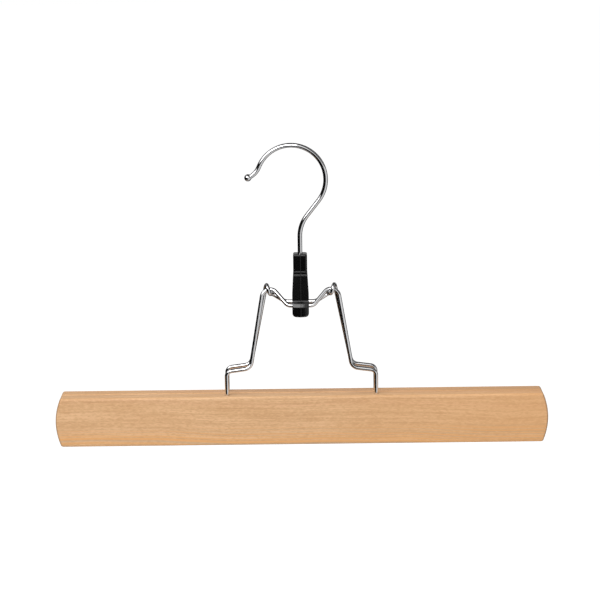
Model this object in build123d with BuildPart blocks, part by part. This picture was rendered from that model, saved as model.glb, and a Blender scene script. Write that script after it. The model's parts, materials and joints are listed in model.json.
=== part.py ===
"""Trouser hanger: two wooden jaws on two bent wires that a plastic clip holds shut under a hook.

Millimetres, +Z up, +Y to the back. The origin is the underside of the hook's crown, straight
above the stem, where the hanger rests on a rail.
"""
import os
from math import cos, pi, radians, sin, sqrt, tan

from build123d import *

# Wooden bar, which is two jaws
bar_length = 360.0
jaw_height = 36.3
jaw_thickness = 12.0
end_bow = 3.8
outline_corner = 2.0
outer_edge_round = 1.8
inner_edge_round = 1.2

# Felt linings and the slit between them
felt_thickness = 1.0
felt_margin = 2.2
felt_gap = 0.3

# The two bent wires of the frame
wire_d = 3.0
foot_spread = 109.0
foot_depth = 13.5
foot_bore_spare = 0.5
glue_gap = 0.05
jog_height = 17.6
jog_rise = 2.3
jog_spread = 74.0
shoulder_spread = 54.6
crest_spread = 39.0
catch_spread = 18.6
pivot_spread = 22.0
jog_outer_bend = 4.0
jog_inner_bend = 6.0
shoulder_bend = 6.0
crest_bend = 5.0
catch_bend = 5.0
pivot_bend = 8.0

# Eyelets that the rear wire makes round the front wire
eye_clearance = 0.25
eye_pitch = 0.8
eye_entry_inset = 2.4
eye_bend_share = 0.95
eye_exit_bend_share = 0.78
eye_exit_back_share = 0.52

# Heights of the frame
hinge_above_bar = 77.0
pivot_below_hinge = 9.1
catch_below_hinge = 10.9
catch_lead = 6.5

# Hook
hook_wire_d = 3.4
hook_radius = 25.0
crown_shift = 5.9
hook_slant = 38.0
crown_end_angle = 158.0
flare_radius = 13.5
flare_turn = 48.0
elbow_radius = 24.0
ball_d = 5.3
head_d = 5.4
head_thickness = 1.5
clip_top_drop = 76.4

# Washer under the plastic, over the stem's head
washer_d = 6.6
washer_thickness = 0.8
swivel_clearance = 0.1

# Clip
hinge_below_clip_top = 26.5
skirt_drop = 8.2
neck_width = 10.2
neck_depth = 12.0
neck_height = 12.9
step_gap = 2.1
step_out = 0.6
nose_width = 12.1
front_lean = 1.2
stem_bore_length = 15.4
cavity_height = 8.6
cavity_wall = 1.2
pivot_clearance = 0.1
pivot_wall = 1.8
mouth_share = 0.9
catch_clearance = 0.15
nose_wall = 2.75
shoulder_rise = 3.0
skirt_relief = 0.8
catch_exit = 0.6
back_taper_height = 7.0
neck_corner = 1.3
clip_front_round = 0.6
clip_top_round = 0.6
tab_bow = 0.6
tab_corner = 2.4
overrun = 5.0

# Sizes worked out from the ones above
wire_r = wire_d / 2
hook_wire_r = hook_wire_d / 2
eye_r = wire_d + eye_clearance
inner_face = felt_gap / 2 + felt_thickness
jaw_mid = inner_face + jaw_thickness / 2
clip_top_z = -clip_top_drop
hinge_z = clip_top_z - hinge_below_clip_top
pivot_z = hinge_z - pivot_below_hinge
catch_z = hinge_z - catch_below_hinge
clip_bottom_z = catch_z - skirt_drop
bar_top_z = hinge_z - hinge_above_bar
bar_bottom_z = bar_top_z - jaw_height
cavity_top_z = clip_top_z - stem_bore_length
washer_top_z = cavity_top_z - swivel_clearance
head_top_z = washer_top_z - washer_thickness
stem_end_z = head_top_z - head_thickness

os.makedirs("parts", exist_ok=True)


def finish(piece, name):
    """Label a finished piece and write it as its own file."""
    piece.part.label = name
    export_step(piece.part, f"parts/{name}.step")


def mirrored(half):
    """Carry a wire's corners from the right foot to the middle on to the left foot."""
    return half + [(-x, y, z) for x, y, z in reversed(half)]


def jaw_outline(distance, inset):
    """Draw a jaw's long face, with bowed ends, at a distance in front of the parting plane."""
    half = bar_length / 2 - inset
    end = half - end_bow
    top, bottom = bar_top_z - inset, bar_bottom_z + inset
    middle = (top + bottom) / 2
    with BuildSketch(Plane.XZ.offset(distance)) as outline:
        with BuildLine():
            Line((-end, top), (end, top))
            ThreePointArc((end, top), (half, middle), (end, bottom))
            Line((end, bottom), (-end, bottom))
            ThreePointArc((-end, bottom), (-half, middle), (-end, top))
        make_face()
        fillet(outline.vertices(), outline_corner)
    return outline.sketch


# Jaws, front and rear, each with two blind bores for the feet of its wire
for side, name in ((1, "front"), (-1, "rear")):
    with BuildPart() as jaw:
        extrude(jaw_outline(side * inner_face, 0), amount=side * jaw_thickness)
        by_depth = jaw.faces().filter_by(Axis.Y).sort_by(Axis.Y)
        outer, inner = (by_depth[0], by_depth[-1]) if side > 0 else (by_depth[-1], by_depth[0])
        fillet(outer.edges(), outer_edge_round)
        fillet(inner.edges(), inner_edge_round)
        with Locations(*[(x, -side * jaw_mid, bar_top_z) for x in (-foot_spread / 2, foot_spread / 2)]):
            Hole(radius=wire_r + glue_gap, depth=foot_depth + foot_bore_spare)
    finish(jaw, f"{name}_jaw")

    # Felt strip glued to the jaw's inner face
    with BuildPart() as felt:
        extrude(jaw_outline(side * felt_gap / 2, felt_margin), amount=side * felt_thickness)
    finish(felt, f"{name}_felt")

# Front wire: foot, jog, leg, level stretch through the eyelet, then down and forward to the catch
front_half = [
    (foot_spread / 2, -jaw_mid, bar_top_z - foot_depth),
    (foot_spread / 2, -jaw_mid, bar_top_z + jog_height),
    (jog_spread / 2, -jaw_mid, bar_top_z + jog_height + jog_rise),
    (shoulder_spread / 2, 0, hinge_z),
    (crest_spread / 2, 0, hinge_z),
    (catch_spread / 2, -catch_lead, catch_z),
]
front_bends = [jog_outer_bend, jog_inner_bend, shoulder_bend, crest_bend, catch_bend]
with BuildPart() as front_frame:
    with BuildLine() as front_route:
        FilletPolyline(*mirrored(front_half), radius=front_bends + front_bends[::-1])
    with BuildSketch(Plane(front_route.line @ 0, z_dir=front_route.line % 0)):
        Circle(wire_r)
    sweep(path=front_route.line)
finish(front_frame, "front_frame")

# Rear wire: the same feet, then one turn over, round and under the front wire, and the pivot bar
eye_x = (shoulder_spread / 2) - eye_entry_inset
rear_half = [
    (foot_spread / 2, jaw_mid, bar_top_z - foot_depth),
    (foot_spread / 2, jaw_mid, bar_top_z + jog_height),
    (jog_spread / 2, jaw_mid, bar_top_z + jog_height + jog_rise),
    (eye_x, eye_r, hinge_z + eye_r),
    (eye_x - eye_pitch, -eye_r, hinge_z + eye_r),
    (eye_x - 3 * eye_pitch, -eye_r, hinge_z - eye_r),
    (eye_x - 5 * eye_pitch, eye_exit_back_share * eye_r, hinge_z - eye_r),
    (pivot_spread / 2, 0, pivot_z),
]
eye_bend = eye_bend_share * eye_r
rear_bends = [jog_outer_bend, jog_inner_bend, eye_bend, eye_bend, eye_bend,
              eye_exit_bend_share * eye_r, pivot_bend]
with BuildPart() as rear_frame:
    with BuildLine() as rear_route:
        FilletPolyline(*mirrored(rear_half), radius=rear_bends + rear_bends[::-1])
    with BuildSketch(Plane(rear_route.line @ 0, z_dir=rear_route.line % 0)):
        Circle(wire_r)
    sweep(path=rear_route.line)
finish(rear_frame, "rear_frame")

# Hook: head inside the clip, stem, elbow, slanted run, crown, flared tip with a ball
inner_r = hook_radius - hook_wire_r
crown_z = -sqrt(inner_r**2 - crown_shift**2)
run_top_x = hook_radius * cos(radians(hook_slant)) - crown_shift
run_top_z = crown_z - hook_radius * sin(radians(hook_slant))
elbow_z = run_top_z - run_top_x / tan(radians(hook_slant))
with BuildPart() as hook:
    with BuildLine(Plane.XZ) as hook_route:
        FilletPolyline((0, stem_end_z), (0, elbow_z), (run_top_x, run_top_z), radius=elbow_radius)
        crown = CenterArc((-crown_shift, crown_z), hook_radius, -hook_slant, hook_slant + crown_end_angle)
        JernArc(crown @ 1, crown % 1, flare_radius, -flare_turn)
    with BuildSketch(Plane(hook_route.line @ 0, z_dir=hook_route.line % 0)):
        Circle(hook_wire_r)
    sweep(path=hook_route.line)
    with Locations(hook_route.line @ 1):
        Sphere(ball_d / 2)
    with BuildSketch(Plane.XY.offset(stem_end_z)):
        Circle(head_d / 2)
    extrude(amount=head_thickness)
finish(hook, "hook")

# Washer on the stem's head
with BuildPart() as hook_washer:
    with BuildSketch(Plane.XY.offset(head_top_z)):
        Circle(washer_d / 2)
        Circle(hook_wire_r + swivel_clearance, mode=Mode.SUBTRACT)
    extrude(amount=washer_thickness)
finish(hook_washer, "hook_washer")

# Clip, seen from the side: neck, two small steps, leaning front, nose and skirt over the catch
neck_front = -neck_depth / 2
lower_front = neck_front - 2 * step_out
catch_r = wire_r + catch_clearance
nose_front = -catch_lead - catch_r - nose_wall
skirt_back = -catch_lead - catch_r - skirt_relief
pivot_bore_r = wire_r + pivot_clearance
boss_r = pivot_bore_r + pivot_wall
step_z = clip_top_z - neck_height
side_outline = [
    (neck_front - step_out, step_z),
    (neck_front - step_out, step_z - step_gap),
    (lower_front, step_z - step_gap),
    (lower_front - front_lean, catch_z + catch_r + shoulder_rise),
    (nose_front, catch_z),
    (nose_front, clip_bottom_z),
    (skirt_back, clip_bottom_z),
    (skirt_back, pivot_z - boss_r),
    (0, pivot_z - boss_r),
    (boss_r, pivot_z),
    (boss_r, hinge_z - boss_r),
    (-neck_front, hinge_z - boss_r + back_taper_height),
    (-neck_front, step_z),
]
with BuildPart() as clip:
    with BuildSketch(Plane.YZ):
        with BuildLine():
            Polyline(*side_outline, close=True)
        make_face()
        with Locations((0, pivot_z)):
            Circle(boss_r)
    extrude(amount=nose_width / 2, both=True)

    # Seen from the front: flared foot with a bowed finger tab
    with BuildSketch(Plane.XZ) as front_view:
        with BuildLine():
            Polyline(
                (-nose_width / 2, clip_bottom_z + tab_bow),
                (-nose_width / 2, hinge_z - boss_r),
                (-neck_width / 2, step_z),
                (neck_width / 2, step_z),
                (nose_width / 2, hinge_z - boss_r),
                (nose_width / 2, clip_bottom_z + tab_bow),
            )
            ThreePointArc(
                (nose_width / 2, clip_bottom_z + tab_bow),
                (0, clip_bottom_z),
                (-nose_width / 2, clip_bottom_z + tab_bow),
            )
        make_face()
        fillet(front_view.vertices().group_by(Axis.Y)[0], tab_corner)
    extrude(amount=neck_depth + overrun, both=True, mode=Mode.INTERSECT)
    front_faces = clip.faces().filter_by(lambda face: face.center().Y < lower_front - step_out)
    front_edges = front_faces.edges().filter_by(Axis.X, reverse=True)
    fillet(front_edges.filter_by(lambda edge: edge.center().Y < lower_front), clip_front_round)

    # Neck with rounded corners
    with BuildSketch(Plane.XY.offset(clip_top_z)):
        RectangleRounded(neck_width, neck_depth, neck_corner)
    extrude(amount=-neck_height - step_gap)
    fillet(clip.faces().sort_by(Axis.Z)[-1].edges(), clip_top_round)

    # Notch over the front wire's crossbar, opening downwards so that the wire can swing out
    with BuildSketch(Plane.YZ):
        with BuildLine():
            Polyline(
                (-catch_lead - catch_r, catch_z),
                (-catch_lead + catch_r, catch_z),
                (-catch_lead + catch_r, catch_z - overrun),
                (skirt_back, catch_z - overrun),
                (skirt_back, catch_z - catch_exit),
                close=True,
            )
        make_face()
        with Locations((-catch_lead, catch_z)):
            Circle(catch_r)
    extrude(amount=nose_width, both=True, mode=Mode.SUBTRACT)

    # Pivot bore with its snap mouth towards the back
    with BuildSketch(Plane.YZ):
        with Locations((0, pivot_z)):
            Circle(pivot_bore_r)
            Rectangle(overrun, mouth_share * wire_d, align=(Align.MIN, Align.CENTER))
    extrude(amount=nose_width, both=True, mode=Mode.SUBTRACT)

    # Cavity for the washer and head, open at the back, and the stem's bore above it
    with BuildSketch(Plane.XY.offset(cavity_top_z)):
        with Locations((0, -washer_d / 2 - swivel_clearance)):
            Rectangle(neck_width - 2 * cavity_wall, neck_depth + overrun, align=(Align.CENTER, Align.MIN))
    extrude(amount=-cavity_height, mode=Mode.SUBTRACT)
    with BuildSketch(Plane.XY.offset(cavity_top_z)):
        Circle(hook_wire_r + swivel_clearance)
    extrude(amount=stem_bore_length, mode=Mode.SUBTRACT)
finish(clip, "clip")

# What the wires should weigh in at: section times length
for label, piece, route in (
    ("front wire", front_frame, front_route),
    ("rear wire", rear_frame, rear_route),
):
    length = route.wire().length
    print(f"{label}: {length:.1f} mm long, volume {piece.part.volume:.1f} of {pi * wire_r**2 * length:.1f}")
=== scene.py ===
# %% [markdown]
# # A trouser hanger with wooden jaws
#
# The real hanger is a pair of beech bars on two bent, chrome-plated wires. A black moulded clip
# under the hook catches the front wire, and that keeps the bars shut on the trousers.
#
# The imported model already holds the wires, the hook and the washer at their true size, so those
# solids stay and only get a finish. The bars, their felt linings and the clip are modelled here,
# because their softened edges, grain and moulding marks are what a plain solid lacks.

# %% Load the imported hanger
import json
from math import asin, copysign, cos, degrees, pi, radians, sin

import bmesh
import bpy
from mathutils import Matrix, Vector


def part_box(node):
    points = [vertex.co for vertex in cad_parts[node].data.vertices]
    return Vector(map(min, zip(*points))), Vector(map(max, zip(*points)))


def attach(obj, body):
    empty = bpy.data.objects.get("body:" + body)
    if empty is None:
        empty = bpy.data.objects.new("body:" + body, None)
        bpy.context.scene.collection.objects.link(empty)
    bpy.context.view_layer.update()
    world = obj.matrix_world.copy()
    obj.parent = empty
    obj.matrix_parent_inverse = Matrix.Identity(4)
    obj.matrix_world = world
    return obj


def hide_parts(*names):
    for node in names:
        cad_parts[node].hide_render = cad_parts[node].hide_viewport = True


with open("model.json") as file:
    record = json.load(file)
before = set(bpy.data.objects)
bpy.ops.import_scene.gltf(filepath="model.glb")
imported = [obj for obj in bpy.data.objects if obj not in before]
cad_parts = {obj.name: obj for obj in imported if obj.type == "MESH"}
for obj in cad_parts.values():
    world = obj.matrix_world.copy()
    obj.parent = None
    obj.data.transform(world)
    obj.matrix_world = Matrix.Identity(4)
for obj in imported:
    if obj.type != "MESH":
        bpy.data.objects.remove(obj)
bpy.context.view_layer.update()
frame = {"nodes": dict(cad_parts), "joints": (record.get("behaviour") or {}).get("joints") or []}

mm = 0.001
scene = bpy.context.scene
print("nodes in the frame:", ", ".join(sorted(frame["nodes"])))

# %% [markdown]
# ## The camera
#
# The photograph was taken from some way off with a long lens, a little above the hanger. A camera
# in Blender looks down its own -Z, so it is first stood up, tilted down by the pitch, turned a
# little about its own line of sight, and then pushed back from the point that it looks at.

# %% Camera
photo_width_px = 600
focal_length_px = 2300
sensor_width = 36.0
view_pitch = 10.9
view_roll = 0.67
view_distance = 1.6756
aim = Vector((-0.0004, 0, -0.111))

lens = bpy.data.cameras.new("long_lens")
lens.sensor_width = sensor_width
lens.lens = sensor_width * focal_length_px / photo_width_px
camera = bpy.data.objects.new("camera", lens)
scene.collection.objects.link(camera)
look = Matrix.Rotation(radians(90 - view_pitch), 4, "X") @ Matrix.Rotation(radians(-view_roll), 4, "Z")
camera.matrix_world = Matrix.Translation(aim) @ look @ Matrix.Translation((0, 0, view_distance))
scene.camera = camera
print(f"lens {lens.lens:.0f} mm, camera at", [round(value, 3) for value in camera.matrix_world.translation])

# %% [markdown]
# ## Helpers for materials
#
# A node material is a small machine: a place on the surface goes in at the left, and a colour, a
# roughness or a height comes out at the right. A few helpers keep the recipes readable. They add a
# node and feed its inputs, read a noise at a place, carry its values over to a useful range, and
# lay one colour over another.

# %% Helpers for materials
def new_material(name):
    """Start a node material and return it, its nodes and its surface shader."""
    material = bpy.data.materials.new(name)
    material.use_nodes = True
    tree = material.node_tree
    return material, tree, tree.nodes["Principled BSDF"]


def add_node(tree, kind, inputs, **settings):
    """Add a node, set its switches, and feed its inputs with numbers, colours or sockets."""
    made = tree.nodes.new("ShaderNode" + kind)
    for name, value in settings.items():
        setattr(made, name, value)
    for name, value in inputs.items():
        feed(tree, made, name, value)
    return made


def feed(tree, target, name, value):
    """Give one input either a socket to follow or a value of its own."""
    if isinstance(value, bpy.types.NodeSocket):
        tree.links.new(value, target.inputs[name])
    else:
        target.inputs[name].default_value = value


def lay_over(tree, amount, under, over):
    """Lay one colour over another by an amount from 0 to 1."""
    first_colour, second_colour, colour_result = 6, 7, 2
    mixed = add_node(
        tree, "Mix", {0: amount, first_colour: under, second_colour: over}, data_type="RGBA",
    )
    return mixed.outputs[colour_result]


def object_place(tree, shift=(0, 0, 0)):
    """Give the place on the piece, in metres, shifted to another part of a pattern."""
    place = add_node(tree, "TexCoord", {}).outputs["Object"]
    return add_node(tree, "Mapping", {"Vector": place, "Location": shift}).outputs["Vector"]


def stretched(tree, place, stretch):
    """Stretch a place along its axes, so that a pattern read there gets long or short."""
    return add_node(tree, "Mapping", {"Vector": place, "Scale": stretch}).outputs["Vector"]


def noise(tree, place, scale, detail, **more):
    """Read a cloudy noise at a place."""
    inputs = {"Vector": place, "Scale": scale, "Detail": detail, **more}
    return add_node(tree, "TexNoise", inputs).outputs["Fac"]


def banded(tree, height, scale, detail):
    """Read a noise of one dimension, which gives bands."""
    inputs = {"W": height, "Scale": scale, "Detail": detail}
    return add_node(tree, "TexNoise", inputs, noise_dimensions="1D").outputs["Fac"]


def remap(tree, value, low, high, new_low, new_high):
    """Carry a range of values over to a new range."""
    ranged = add_node(
        tree, "MapRange",
        {"Value": value, "From Min": low, "From Max": high, "To Min": new_low, "To Max": new_high},
    )
    return ranged.outputs["Result"]


def calculate(tree, operation, *values):
    """Work out one step of arithmetic on sockets or numbers."""
    step = add_node(tree, "Math", dict(enumerate(values)), operation=operation)
    return step.outputs[0]


# %% [markdown]
# ## Beech under clear lacquer
#
# Beech is pale and even. What can be seen is a slow wander of growth rings, long soft patches,
# fibres a few centimetres long, and a fine grain of dashes with the short brown flecks that tell
# beech from other woods. Each is a noise on the place in the wood, stretched along the bar. The
# rings are a noise of one dimension only, read along a slanting height that wanders, so they run
# as real rings do, and fibres, dashes and patches follow the same height.
#
# Two things depend on the place on the bar: orange and greyish streaks along its lower edge, and a
# painted shade towards its right end, where less light falls, warmer on the front bar and darker on
# the rear one. The cut ends drink more lacquer and are darker too, and the surface's own direction
# says where they are.

# %% Beech
plain_beech = (0.674, 0.401, 0.203, 1)
pale_beech = (0.748, 0.467, 0.253, 1)
late_beech = (0.56, 0.31, 0.142, 1)
orange_beech = (0.73, 0.362, 0.13, 1)
grey_beech = (0.54, 0.35, 0.2, 1)
rosy_beech = (0.655, 0.355, 0.195, 1)
fleck_brown = (0.40, 0.21, 0.10, 1)
end_grain_brown = (0.31, 0.175, 0.09, 1)
rings_per_metre = 420
tint_bands_per_metre = 90
streak_bands_per_metre = 1.3 * rings_per_metre
wander_per_metre = (7, 10, 10)
fibres_per_metre = (15, 1100, 1250)
dashes_per_metre = (420, 1250, 1400)
patches_per_metre = (14, 40, 95)
flecks_per_metre = (170, 1200, 1200)
ring_slant = 0.35
ring_dip = 0.022
ring_wander = 0.012
streak_top = 15 * mm
streak_full = 7 * mm
# Painted shade: the place along the bar where the painted shade at the right end is full.
end_shade_full_x = 0.17


def lacquered_beech(name, plank_shift, streak_z, end_shade_colour, end_shade_share):
    """Make beech cut at one place in a plank, streaked low down, with painted shade at its right end."""
    material, tree, surface = new_material(name)
    plank = object_place(tree, plank_shift)
    wander = noise(tree, stretched(tree, plank, wander_per_metre), 1, 2)
    parts = add_node(tree, "SeparateXYZ", {"Vector": plank}).outputs
    dipping = calculate(tree, "MULTIPLY_ADD", parts["X"], ring_dip, parts["Z"])
    slanted = calculate(tree, "MULTIPLY_ADD", parts["Y"], ring_slant, dipping)
    ring_height = calculate(tree, "MULTIPLY_ADD", wander, ring_wander, slanted)
    rings = banded(tree, ring_height, rings_per_metre, 3)
    tints = banded(tree, ring_height, tint_bands_per_metre, 1)
    streaks = banded(tree, ring_height, streak_bands_per_metre, 2)

    level = add_node(tree, "CombineXYZ", {0: parts["X"], 1: parts["Y"], 2: ring_height}).outputs[0]
    fibres = noise(tree, stretched(tree, level, fibres_per_metre), 1, 3)
    dashes = noise(tree, stretched(tree, level, dashes_per_metre), 1, 1)
    patches = noise(tree, stretched(tree, level, patches_per_metre), 1, 2)
    flecks = add_node(
        tree, "TexVoronoi", {"Vector": stretched(tree, level, flecks_per_metre), "Scale": 1},
    ).outputs["Distance"]

    colour = lay_over(tree, remap(tree, rings, 0.4, 0.75, 0, 0.25), plain_beech, late_beech)
    colour = lay_over(tree, remap(tree, patches, 0.36, 0.64, 0, 0.85), colour, pale_beech)
    colour = lay_over(tree, remap(tree, tints, 0.5, 0.72, 0, 0.6), colour, rosy_beech)
    colour = lay_over(tree, remap(tree, fibres, 0.4, 0.68, 0, 0.85), colour, late_beech)
    colour = lay_over(tree, remap(tree, dashes, 0.5, 0.7, 0, 0.65), colour, late_beech)
    colour = lay_over(tree, remap(tree, dashes, 0.45, 0.28, 0, 0.6), colour, pale_beech)
    colour = lay_over(tree, remap(tree, flecks, 0.2, 0.05, 0, 0.22), colour, fleck_brown)

    place = add_node(tree, "SeparateXYZ", {"Vector": object_place(tree)}).outputs
    # Painted shade: the wood darkens towards the bar's right end, where less light falls.
    painted_end_shade = remap(tree, place["X"], 0, end_shade_full_x, 0, end_shade_share)
    colour = lay_over(tree, painted_end_shade, colour, end_shade_colour)
    low_down = remap(tree, place["Z"], streak_z + streak_top, streak_z + streak_full, 0, 1)
    orange_share = calculate(tree, "MULTIPLY", low_down, remap(tree, streaks, 0.48, 0.56, 0, 0.8))
    colour = lay_over(tree, orange_share, colour, orange_beech)
    grey_share = calculate(tree, "MULTIPLY", low_down, remap(tree, streaks, 0.46, 0.38, 0, 0.55))
    colour = lay_over(tree, grey_share, colour, grey_beech)

    facing = add_node(tree, "TexCoord", {}).outputs["Normal"]
    along = add_node(tree, "SeparateXYZ", {"Vector": facing}).outputs["X"]
    cut_end = remap(tree, calculate(tree, "ABSOLUTE", along), 0.3, 0.8, 0, 0.65)
    feed(tree, surface, "Base Color", lay_over(tree, cut_end, colour, end_grain_brown))

    feed(tree, surface, "Roughness", remap(tree, fibres, 0.3, 0.7, 0.45, 0.56))
    feed(tree, surface, "Specular IOR Level", 0.35)
    feed(tree, surface, "Coat Weight", 0.05)
    feed(tree, surface, "Coat Roughness", 0.18)
    pores = add_node(tree, "Bump", {"Height": fibres, "Strength": 0.3, "Distance": 0.05 * mm})
    feed(tree, surface, "Normal", pores.outputs["Normal"])
    return material


bar_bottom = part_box("front_jaw")[0].z
# The last two arguments give the painted shade at the right end: its colour and how much of it.
front_beech = lacquered_beech("front_beech", (0.31, 0.02, 0.117), bar_bottom, orange_beech, 0.35)
rear_beech = lacquered_beech("rear_beech", (-0.67, 0.33, 0.241), bar_bottom, late_beech, 0.9)
print("beech:", front_beech.name, rear_beech.name)

# %% [markdown]
# ## Chrome plate, zinc plate, moulded plastic and felt
#
# Chrome is nearly a mirror, so it is the room that gives it its dark and bright bands, and its
# own recipe is short: a bright metal whose roughness drifts a little, with faint waves left by
# polishing. The washer is zinc plated, greyer and satin. The clip's plastic is nearly black and
# fairly glossy, with the fine speckle of a spark-finished mould. Felt is a mat of fibres: a mottled
# dark grey with a deep bump and a soft sheen.

# %% Plated metals
def plated(name, colour, smoothest, roughest, waves):
    """Make a plated metal whose roughness drifts between two values."""
    material, tree, surface = new_material(name)
    drift = noise(tree, object_place(tree), 140, 3)
    fine = noise(tree, object_place(tree), 900, 2)
    feed(tree, surface, "Base Color", colour)
    feed(tree, surface, "Metallic", 1)
    feed(tree, surface, "Roughness", remap(tree, drift, 0.35, 0.65, smoothest, roughest))
    ripple = add_node(tree, "Bump", {"Height": fine, "Strength": waves, "Distance": 0.02 * mm})
    feed(tree, surface, "Normal", ripple.outputs["Normal"])
    return material


chrome = plated("chrome_plate", (0.83, 0.83, 0.84, 1), 0.05, 0.11, 0.05)
zinc = plated("zinc_plate", (0.58, 0.585, 0.6, 1), 0.3, 0.42, 0.3)
print("metals:", chrome.name, zinc.name)


# %% Moulded plastic
deep_black = (0.0015, 0.0015, 0.0016, 1)
soft_black = (0.003, 0.0029, 0.003, 1)


def black_moulding(name):
    """Make fairly glossy black plastic with the fine speckle of its mould."""
    material, tree, surface = new_material(name)
    speckle = noise(tree, object_place(tree), 2600, 2)
    cloud = noise(tree, object_place(tree), 160, 2)
    colour = lay_over(tree, remap(tree, cloud, 0.3, 0.7, 0, 1), deep_black, soft_black)
    feed(tree, surface, "Base Color", colour)
    feed(tree, surface, "Roughness", remap(tree, speckle, 0.3, 0.7, 0.13, 0.21))
    feed(tree, surface, "Specular IOR Level", 0.5)
    grain = add_node(tree, "Bump", {"Height": speckle, "Strength": 0.14, "Distance": 0.05 * mm})
    feed(tree, surface, "Normal", grain.outputs["Normal"])
    return material


clip_plastic = black_moulding("clip_plastic")
print("plastic:", clip_plastic.name)


# %% Pressed felt
felt_dark = (0.022, 0.022, 0.025, 1)
felt_light = (0.075, 0.075, 0.08, 1)
felt_mottle = (0.05, 0.048, 0.05, 1)


def pressed_felt(name):
    """Make dark wool felt, mottled and fibrous."""
    material, tree, surface = new_material(name)
    fibres = noise(tree, object_place(tree), 2200, 5, Distortion=1.2)
    mottle = noise(tree, object_place(tree), 240, 3)
    colour = lay_over(tree, remap(tree, fibres, 0.35, 0.65, 0, 1), felt_dark, felt_light)
    colour = lay_over(tree, remap(tree, mottle, 0.4, 0.7, 0, 0.4), colour, felt_mottle)
    feed(tree, surface, "Base Color", colour)
    feed(tree, surface, "Roughness", 0.95)
    feed(tree, surface, "Sheen Weight", 0.35)
    feed(tree, surface, "Sheen Roughness", 0.5)
    nap = add_node(tree, "Bump", {"Height": fibres, "Strength": 0.8, "Distance": 0.25 * mm})
    feed(tree, surface, "Normal", nap.outputs["Normal"])
    return material


felt = pressed_felt("pressed_felt")
print("felt:", felt.name)

# %% [markdown]
# ## Wires, hook and washer
#
# The hook and the two wires of the frame are plain bent wire, and the washer is a plain ring. The
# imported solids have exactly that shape, so they stay, and only the material in their slot changes.

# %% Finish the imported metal
for node_name, metal in (
    ("hook", chrome),
    ("front_frame", chrome),
    ("rear_frame", chrome),
    ("hook_washer", zinc),
):
    frame["nodes"][node_name].material_slots[0].material = metal
    print(node_name, "is finished with", metal.name)


# %% [markdown]
# ## Helpers for pieces
#
# Every new piece ends the same way: its faces are turned outwards, it gets a smooth finish that
# stays crisp at real corners, and it joins the body that it moves with. A bore or slot is cut with
# a second closed mesh, as a drill or a core pin cuts the real part.

# %% Helpers for pieces
near = 0.01 * mm
crisp_edge = radians(38)


def mesh_object(bm, name):
    """Put a bmesh into the scene as an object."""
    mesh = bpy.data.meshes.new(name)
    bm.to_mesh(mesh)
    bm.free()
    piece = bpy.data.objects.new(name, mesh)
    scene.collection.objects.link(piece)
    return piece


def apply_modifiers(work, *tools):
    """Return the mesh that an object's modifiers make, and remove the object and its tools."""
    shaped = work.evaluated_get(bpy.context.evaluated_depsgraph_get()).to_mesh()
    result = bmesh.new()
    result.from_mesh(shaped)
    for used in (work, *tools):
        mesh = used.data
        bpy.data.objects.remove(used)
        bpy.data.meshes.remove(mesh)
    return result


def cut_out(bm, tool):
    """Cut a closed tool out of a closed mesh and return what is left."""
    work, other = mesh_object(bm, "work"), mesh_object(tool, "tool")
    boolean = work.modifiers.new("boolean", "BOOLEAN")
    boolean.operation = "DIFFERENCE"
    boolean.solver = "EXACT"
    boolean.object = other
    return apply_modifiers(work, other)


def finish_piece(bm, name, body, material, node):
    """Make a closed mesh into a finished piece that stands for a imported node."""
    bmesh.ops.recalc_face_normals(bm, faces=bm.faces)
    piece = mesh_object(bm, name)
    piece.data.materials.append(material)
    piece.data.shade_smooth()
    piece.data.set_sharp_from_angle(angle=crisp_edge)
    even = piece.modifiers.new("even_shading", "WEIGHTED_NORMAL")
    even.keep_sharp = True
    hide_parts(node)
    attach(piece, body)
    print(f"{name}: {len(piece.data.polygons)} faces, rides on {body}")
    return piece


def extrude_all(bm, direction):
    """Give an open sheet a thickness by extruding every face of it."""
    grown = bmesh.ops.extrude_face_region(bm, geom=bm.faces[:])
    moved = [part for part in grown["geom"] if isinstance(part, bmesh.types.BMVert)]
    bmesh.ops.translate(bm, vec=direction, verts=moved)


def round_edges(bm, edges, radius, segments):
    """Round edges with a bevel of a given radius."""
    bmesh.ops.bevel(
        bm, geom=edges, offset=radius, offset_type="OFFSET", segments=segments,
        profile=0.5, affect="EDGES", material=-1,
    )


# %% [markdown]
# ## Wooden jaws
#
# A jaw starts as a flat sheet of the bar's long face. The rows of the sheet let its two ends bow
# outwards, its four corners are trimmed round, and then it is extruded to the bar's thickness. The
# outer long edges were run past a larger cutter than the inner ones, so they have a larger round.
# Each jaw is bored from above for the two feet of its wire, with the rim of each bore eased.

# %% The bar's outline as a slab
end_bow = 3.8 * mm
corner_trim = 1.3 * mm
end_rows = 18


def bowed_slab(low, high, columns=1):
    """Make a closed slab with the bar's outline between two corners of a box."""
    size = high - low
    bm = bmesh.new()
    bmesh.ops.create_grid(bm, x_segments=columns, y_segments=end_rows, size=1)
    for vert in bm.verts:
        bow = end_bow * vert.co.x * vert.co.y**2
        vert.co = Vector((vert.co.x * size.x / 2 - bow, 0, vert.co.y * size.z / 2))
    corners = [vert for vert in bm.verts if len(vert.link_edges) == 2]
    bmesh.ops.bevel(
        bm, geom=corners, offset=corner_trim, offset_type="OFFSET", segments=5,
        profile=0.5, affect="VERTICES", material=-1,
    )
    bmesh.ops.translate(bm, vec=((low.x + high.x) / 2, low.y, (low.z + high.z) / 2), verts=bm.verts)
    extrude_all(bm, (0, size.y, 0))
    bmesh.ops.recalc_face_normals(bm, faces=bm.faces)
    return bm


print(f"the bar's ends bow out by {end_bow / mm:.1f} mm")


# %% Jaws
outer_round = 1.8 * mm
inner_round = 1.2 * mm
foot_spacing = 109 * mm
bore_radius = 1.55 * mm
bore_depth = 14 * mm
rim_ease = 0.3 * mm
square_corner = radians(60)


def rim_at(bm, y):
    """Find the edges round a long face that lies at y."""
    return [
        edge for edge in bm.edges
        if all(abs(vert.co.y - y) < near for vert in edge.verts)
        and edge.calc_face_angle() > square_corner
    ]


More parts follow.
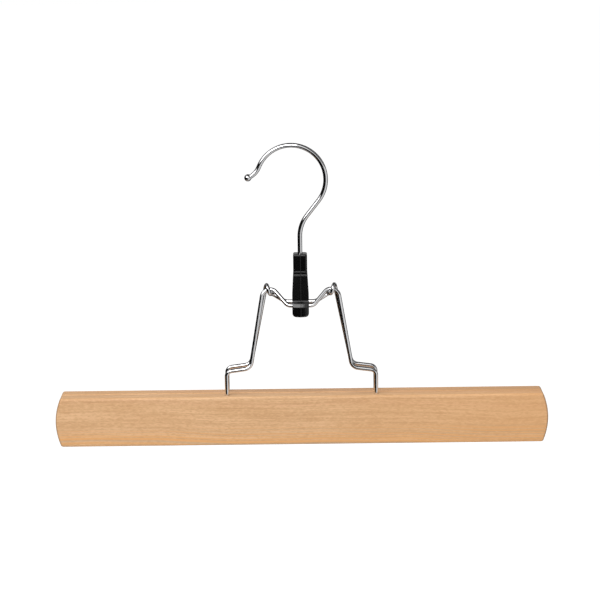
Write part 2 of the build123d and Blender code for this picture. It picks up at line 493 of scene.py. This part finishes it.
def foot_bore(x, y, top):
    """Make the drill for one bore, with a small countersink, by spinning its profile."""
    bm = bmesh.new()
    profile = [
        (0, -bore_depth), (bore_radius, -bore_depth), (bore_radius, -rim_ease),
        (bore_radius + 2 * rim_ease, rim_ease), (0, rim_ease),
    ]
    corners = [bm.verts.new((radius, 0, height)) for radius, height in profile]
    edges = [bm.edges.new(pair) for pair in zip(corners, corners[1:])]
    bmesh.ops.spin(
        bm, geom=corners + edges, cent=(0, 0, 0), axis=(0, 0, 1), angle=2 * pi, steps=32,
        use_merge=True,
    )
    bmesh.ops.remove_doubles(bm, verts=bm.verts, dist=near)
    bmesh.ops.recalc_face_normals(bm, faces=bm.faces)
    bmesh.ops.translate(bm, vec=(x, y, top), verts=bm.verts)
    return bm


def wooden_jaw(side, outward, beech):
    """Build one jaw, whose outer face lies towards -Y or +Y, and bore it for its wire's feet."""
    low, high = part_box(f"{side}_jaw")
    outer_y, inner_y = (low.y, high.y) if outward < 0 else (high.y, low.y)
    bm = bowed_slab(low, high)
    round_edges(bm, rim_at(bm, outer_y), outer_round, 6)
    round_edges(bm, rim_at(bm, inner_y), inner_round, 5)
    for x in (-foot_spacing / 2, foot_spacing / 2):
        bm = cut_out(bm, foot_bore(x, (low.y + high.y) / 2, high.z))
    return finish_piece(bm, f"{side}_jaw_wood", f"{side}_half", beech, f"{side}_jaw")


front_jaw = wooden_jaw("front", -1, front_beech)
rear_jaw = wooden_jaw("rear", 1, rear_beech)

# %% [markdown]
# ## Felt linings
#
# Each lining is a strip of pressed felt, 1 mm thick, glued to the flat of the jaw's inner face. It
# is a sheet of cloth. The strip is divided finely enough for a cloud texture to push its surface in
# and out by a few hundredths of a millimetre, as a nap.

# %% Felt linings
felt_columns = 150
nap_height = 0.08 * mm
nap_size = 1.6 * mm

nap_pattern = bpy.data.textures.new("felt_nap", "CLOUDS")
nap_pattern.noise_scale = nap_size


def felt_lining(side):
    """Build the felt strip on one jaw."""
    node = f"{side}_felt"
    low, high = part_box(node)
    bm = bowed_slab(low, high, felt_columns)
    lining = finish_piece(bm, f"{side}_felt_strip", f"{side}_half", felt, node)
    nap = lining.modifiers.new("nap", "DISPLACE")
    nap.texture = nap_pattern
    nap.strength = nap_height
    return lining


felt_lining("front")
felt_lining("rear")

# %% [markdown]
# ## Clip
#
# The clip is one moulding. Seen from the side it has a square neck round the hook's stem, two
# small steps, a front that leans forward, and a lip that flares out over the front wire and ends
# in a finger tab. Under the neck sits a round boss with the snap bearing for the rear wire. The
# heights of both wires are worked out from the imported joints, so the moulding fits them.

# %% Places and sizes that the clip is built round
clip_low, clip_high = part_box("clip")
joint_place = {joint["name"]: Vector(joint["pos_m"]) for joint in frame["joints"]}
hinge_z = joint_place["jaw_open"].z
pivot_z = joint_place["clip_tilt"].z
wire_radius = 1.5 * mm
catch_y = -6.5 * mm
catch_z = hinge_z - 10.9 * mm
catch_radius = wire_radius + 0.15 * mm
bearing_radius = wire_radius + 0.1 * mm
boss_radius = bearing_radius + 1.8 * mm
waist_z = hinge_z - boss_radius
neck_width = 10.2 * mm
neck_depth = 12 * mm
step_z = clip_high.z - 12.9 * mm
skirt_inside = catch_y - catch_radius - 0.8 * mm
print(f"clip: {(clip_high.z - clip_low.z) / mm:.1f} mm tall, pivot at z {pivot_z / mm:.1f} mm")


# %% Blocks from an outline
def arc(centre_y, centre_z, radius, start, end, steps):
    """List points along an arc in the side view, from one angle to another in degrees."""
    turns = [radians(start + (end - start) * step / steps) for step in range(steps + 1)]
    return [(centre_y + radius * cos(turn), centre_z + radius * sin(turn)) for turn in turns]


def side_block(outline, half_width):
    """Extrude an outline in the side view to both sides of the middle."""
    bm = bmesh.new()
    bm.faces.new([bm.verts.new((-half_width, y, z)) for y, z in outline])
    extrude_all(bm, (2 * half_width, 0, 0))
    bmesh.ops.recalc_face_normals(bm, faces=bm.faces)
    return bm


def slice_at(bm, point, normal):
    """Add a loop of edges where a plane crosses the mesh."""
    everything = bm.verts[:] + bm.edges[:] + bm.faces[:]
    bmesh.ops.bisect_plane(bm, geom=everything, plane_co=point, plane_no=normal)


def sharp_edges(bm):
    """Find the edges where two faces meet at a clear angle."""
    least = radians(35)
    return [edge for edge in bm.edges if edge.is_manifold and edge.calc_face_angle() > least]


# %% [markdown]
# Most of the clip's shape is in its side view: the steps, the lip, the catch that opens downwards
# and the bearing that opens backwards. One outline holds all of it, so that they stay in line with
# each other. A mould makes it the same way, with both halves meeting at the middle.

# %% The clip's side view
step_height = 2.1 * mm
step_out = 0.6 * mm
front_lean = 1.2 * mm
shoulder_rise = 3.5 * mm
lip_rise = 1.7 * mm
lip_drop = 0.8 * mm
lip_depth = 1 * mm
catch_exit = 0.6 * mm
back_taper = 7 * mm
mouth_half = 0.9 * wire_radius
neck_front = -neck_depth / 2
lower_front = neck_front - 2 * step_out
bore_mouth = degrees(asin(mouth_half / bearing_radius))
boss_mouth = degrees(asin(mouth_half / boss_radius))

clip_outline = [
    (neck_front, clip_high.z),
    (neck_front, step_z),
    (neck_front - step_out, step_z),
    (neck_front - step_out, step_z - step_height),
    (lower_front, step_z - step_height),
    (lower_front - front_lean, catch_z + shoulder_rise),
    (clip_low.y + lip_depth, catch_z + lip_rise),
    (clip_low.y, catch_z - lip_drop),
    (clip_low.y, clip_low.z),
    (skirt_inside, clip_low.z),
    (skirt_inside, catch_z - catch_exit),
    *arc(catch_y, catch_z, catch_radius, 180, 0, 16),
    (catch_y + catch_radius, pivot_z - boss_radius),
    *arc(0, pivot_z, boss_radius, -90, -boss_mouth, 8),
    *arc(0, pivot_z, bearing_radius, -bore_mouth, bore_mouth - 360, 24),
    (boss_radius, pivot_z + mouth_half),
    (boss_radius, waist_z),
    (-neck_front, waist_z + back_taper),
    (-neck_front, clip_high.z),
]
print("the clip's side view has", len(clip_outline), "points")

# %% [markdown]
# The outline is extruded to the nose's width and narrowed towards the neck. Then the edges that a
# hand touches are rounded, each with its own radius: the neck's uprights, the rim on top, and the
# tab. The front of the nose and the tab's lower edge bow a little from side to side. That is what
# lets the lip catch the light as a soft band instead of a flat flash.

# %% Clip body
neck_corner = 1.3 * mm
top_round = 1.1 * mm
tab_corner = 2.2 * mm
rim_round = 1.2 * mm
nose_bow = 0.5 * mm
tab_bow = 0.6 * mm
bow_slices = (-0.75, -0.5, -0.25, 0, 0.25, 0.5, 0.75)


def clip_body():
    """Build the clip's outside, with its catch and bearing, but without the hook's bore."""
    nose_half, neck_half = clip_high.x, neck_width / 2
    bm = side_block(clip_outline, nose_half)
    slice_at(bm, (0, 0, waist_z), (0, 0, 1))
    slice_at(bm, (0, 0, step_z), (0, 0, 1))
    for vert in bm.verts:
        share = min(max((vert.co.z - waist_z) / (step_z - waist_z), 0), 1)
        vert.co.x = copysign(nose_half + (neck_half - nose_half) * share, vert.co.x)

    uprights = [
        edge for edge in sharp_edges(bm)
        if all(abs(abs(vert.co.y) - neck_depth / 2) < near for vert in edge.verts)
        and abs(edge.verts[0].co.z - edge.verts[1].co.z) > step_height
    ]
    round_edges(bm, uprights, neck_corner, 6)
    top_rim = [
        edge for edge in sharp_edges(bm)
        if all(vert.co.z > clip_high.z - near for vert in edge.verts)
    ]
    round_edges(bm, top_rim, top_round, 5)
    tab_corners = [
        edge for edge in bm.edges
        if all(vert.co.z < clip_low.z + near for vert in edge.verts)
        and abs(edge.verts[0].co.x - edge.verts[1].co.x) < near
    ]
    round_edges(bm, tab_corners, tab_corner, 6)
    front_rim = [
        edge for edge in sharp_edges(bm)
        if all(vert.co.y < clip_low.y + near for vert in edge.verts)
    ]
    round_edges(bm, front_rim, rim_round, 5)

    for share in bow_slices:
        slice_at(bm, (share * nose_half, 0, 0), (1, 0, 0))
    for vert in bm.verts:
        if vert.co.y < skirt_inside - near:
            vert.co.y += nose_bow * (vert.co.x / nose_half) ** 2
        if vert.co.z < clip_low.z + tab_corner:
            vert.co.z += tab_bow * (vert.co.x / nose_half) ** 2
    return bm


outside = clip_body()
print("the clip's outside has", len(outside.faces), "faces")

# %% [markdown]
# Two core pins leave hollows in the real moulding: a round one for the hook's stem, and a square
# one from behind for the washer and the stem's head. Here both are closed meshes that are cut out
# of the body. The round pin reaches a little into the pocket, so that the two hollows join.

# %% Core pins
bore_bottom = clip_high.z - 15.4 * mm
stem_bore_radius = 1.8 * mm
pocket_height = 8.6 * mm
pocket_front = -3.4 * mm
pocket_half = neck_width / 2 - 1.2 * mm
pin_overlap = 0.3 * mm
overshoot = 5 * mm


def stem_pin():
    """Make the round pin that leaves the hook's bore."""
    low_z, high_z = bore_bottom - pin_overlap, clip_high.z + overshoot
    bm = bmesh.new()
    bmesh.ops.create_cone(
        bm, cap_ends=True, segments=40, radius1=stem_bore_radius, radius2=stem_bore_radius,
        depth=high_z - low_z,
    )
    bmesh.ops.translate(bm, vec=(0, 0, (low_z + high_z) / 2), verts=bm.verts)
    return bm


def pocket_pin():
    """Make the block that leaves the pocket for the washer and the stem's head."""
    low_z, back_y = bore_bottom - pocket_height, clip_high.y + overshoot
    corners = [(pocket_front, low_z), (back_y, low_z), (back_y, bore_bottom), (pocket_front, bore_bottom)]
    return side_block(corners, pocket_half)


moulding = cut_out(cut_out(outside, pocket_pin()), stem_pin())
print("the clip's block has", len(moulding.faces), "faces")

# %% [markdown]
# Moulded plastic has no knife-sharp edge anywhere. A voxel remesh covers the block with one fine
# and even skin, and a few passes of smoothing then soften every edge by the same small amount. At
# the middle the skin is raised by a hair, where the two halves of the mould let plastic in between.

# %% Finished clip
skin_step = 0.22 * mm
softening_passes = 3
flash_height = 0.1 * mm
flash_half_width = 1.5 * skin_step


def moulded_skin(bm):
    """Cover a sharp block with a fine even skin, soften its edges, and raise the parting line."""
    work = mesh_object(bm, "work")
    skin = work.modifiers.new("skin", "REMESH")
    skin.mode = "VOXEL"
    skin.voxel_size = skin_step
    skinned = apply_modifiers(work)
    for _ in range(softening_passes):
        bmesh.ops.smooth_vert(
            skinned, verts=skinned.verts, factor=0.5,
            use_axis_x=True, use_axis_y=True, use_axis_z=True,
        )
    skinned.normal_update()
    for vert in skinned.verts:
        nearness = 1 - abs(vert.co.x) / flash_half_width
        if nearness > 0:
            vert.co += vert.normal * flash_height * nearness
    return skinned


finish_piece(moulded_skin(moulding), "clip_moulding", "clip", clip_plastic, "clip")

# %% [markdown]
# ## Studio
#
# The hanger is photographed on white. The camera finds a plain white background, and a softer
# white from every side fills the shadows. The pale floor lies well below, because the hanger
# hangs, and it keeps a shadow. Light Path tells the world and the floor what kind of ray looks at
# them, so the background can be white without more light on the hanger.

# %% World
white = (1, 1, 1, 1)
background_level = 1.0
fill_level = 0.53

world = bpy.data.worlds.new("white_room")
world.use_nodes = True
scene.world = world
room = world.node_tree
room.nodes.clear()
fill = add_node(room, "Background", {"Color": white, "Strength": fill_level})
seen = add_node(room, "Background", {"Color": white, "Strength": background_level})


def seen_directly(tree):
    """Say 1 for rays from the camera and for mirrored or refracted ones, and 0 for the rest."""
    ray = add_node(tree, "LightPath", {}).outputs
    mirrored = calculate(tree, "MAXIMUM", ray["Is Glossy Ray"], ray["Is Transmission Ray"])
    return calculate(tree, "MAXIMUM", ray["Is Camera Ray"], mirrored)


chosen = add_node(room, "MixShader", {0: seen_directly(room), 1: fill.outputs[0], 2: seen.outputs[0]})
add_node(room, "OutputWorld", {"Surface": chosen.outputs[0]})
print("world: fill", fill_level, "background", background_level)

# %% Floor
floor_z = -0.75
floor_radius = 14
floor_glow = 0.52

floor_paint, floor_tree, floor_surface = new_material("pale_floor")
feed(floor_tree, floor_surface, "Base Color", (0.95, 0.95, 0.95, 1))
feed(floor_tree, floor_surface, "Roughness", 1.0)
feed(floor_tree, floor_surface, "Specular IOR Level", 0)
glow_strength = calculate(floor_tree, "MULTIPLY", seen_directly(floor_tree), floor_glow)
glow = add_node(floor_tree, "Emission", {"Color": white, "Strength": glow_strength})
floor_sum = add_node(floor_tree, "AddShader", {0: floor_surface.outputs[0], 1: glow.outputs[0]})
feed(floor_tree, floor_tree.nodes["Material Output"], "Surface", floor_sum.outputs[0])

disc = bmesh.new()
bmesh.ops.create_circle(disc, cap_ends=True, segments=96, radius=floor_radius)
bmesh.ops.translate(disc, vec=(0, 0, floor_z), verts=disc.verts)
floor = mesh_object(disc, "floor")
floor.data.materials.append(floor_paint)
floor.visible_glossy = False
print("floor at", floor_z)

# %% [markdown]
# A mirror in a white room is white all over, and a wire would vanish. Photographers stand cards
# round shiny things for that reason, and every bright or dark band along a wire is one of them.
# Where they stood can be worked out: each place on a round wire mirrors one direction, so the
# photographed bands give the bearing and the height of each card.
#
# The cards here are bent round the hanger, far out, so that each is seen in the same direction
# from every part of it. They glow by themselves, and only reflections see them, so the wood's
# colour stays as it is lit. They stand in layers: first a dark room all round, and then each card
# a little nearer than the one before, so that it covers it. The floor is hidden from reflections,
# since it would cover the lower cards.

# %% Cards for the reflections
card_distance = 2.6
card_step = 0.02
hanger_middle = Vector((0, 0, -0.12))


def reflection_card(name, distance, start, end, lows, highs, grey):
    """Bend a glowing card round the hanger that only mirrors see.

    It runs from one bearing to another, and its lower and upper edges may slant: each is given at
    the start and at the end. All of these are degrees, and bearing 0 is the camera's side.
    """
    paint, tree, surface = new_material(name)
    glow = add_node(tree, "Emission", {"Color": white, "Strength": grey})
    feed(tree, tree.nodes["Material Output"], "Surface", glow.outputs[0])
    bm = bmesh.new()
    bmesh.ops.create_grid(bm, x_segments=48, y_segments=24, size=0.5)
    for vert in bm.verts:
        along, up = vert.co.x + 0.5, vert.co.y + 0.5
        low = lows[0] + (lows[1] - lows[0]) * along
        high = highs[0] + (highs[1] - highs[0]) * along
        bearing = radians(start + (end - start) * along)
        height = radians(low + (high - low) * up)
        toward = Vector((sin(bearing) * cos(height), -cos(bearing) * cos(height), sin(height)))
        vert.co = hanger_middle + distance * toward
    card = mesh_object(bm, name)
    card.data.materials.append(paint)
    card.visible_camera = False
    card.visible_diffuse = False
    card.visible_transmission = False
    card.visible_shadow = False
    print(f"{name}: bearings {start} to {end}, heights {lows} to {highs} degrees")


cards = (
    ("dark_room", -180, 180, (-89, -89), (89, 89), 0.04),
    ("ground_card", -180, 180, (-89, -89), (-62, -62), 0.3),
    ("horizon_card", 148, 212, (-6, -6), (32, 32), 0.4),
    ("right_card", 12, 88, (-62, -62), (14, 14), 0.68),
    ("far_right_card", 84, 98, (14, 14), (66, 66), 0.6),
    ("upper_left_card", -60, -140, (14, 14), (66, 66), 0.35),
    ("window_card", 22, -62, (2, 2), (66, 66), 0.9),
    ("grey_front_card", 12, -140, (-62, -62), (-30, -50), 0.2),
    ("black_front_card", 12, -35, (-30, -50), (-4, 13), 0.004),
    ("black_left_card", -35, -140, (-50, -50), (13, 38), 0.004),
)
for order, (card_name, start, end, lows, highs, grey) in enumerate(cards):
    reflection_card(card_name, card_distance - order * card_step, start, end, lows, highs, grey)

# %% [markdown]
# Two soft lamps light the wood. The softbox stands in front, to the left and above, and it also
# shows in the chrome and on the clip's lip. The lamp on top brightens the bars' upper edges, and
# it is hidden from mirrors, because the photographed wires don't show one there.


# %% Lamps
def soft_lamp(name, place, width, height, watts, mirrored):
    """Hang a large soft lamp that faces the hanger, and say whether mirrors show it."""
    light = bpy.data.lights.new(name, "AREA")
    light.shape = "RECTANGLE"
    light.size, light.size_y = width, height
    light.energy = watts
    lamp = bpy.data.objects.new(name, light)
    lamp.visible_glossy = mirrored
    scene.collection.objects.link(lamp)
    turn = (hanger_middle - place).to_track_quat("-Z", "Y").to_matrix().to_4x4()
    lamp.matrix_world = Matrix.Translation(place) @ turn
    print(f"{name}: {watts} W")


soft_lamp("softbox", Vector((-0.46, -1.14, 0.65)), 1.3, 0.55, 11.2, mirrored=True)
soft_lamp("top_light", Vector((-0.1, -0.35, 1.4)), 0.8, 0.6, 9, mirrored=False)

# %% [markdown]
# ## Finish
#
# The view transform stays Standard, so a colour renders as it is written.

# %% Finish
scene.view_settings.view_transform = "Standard"
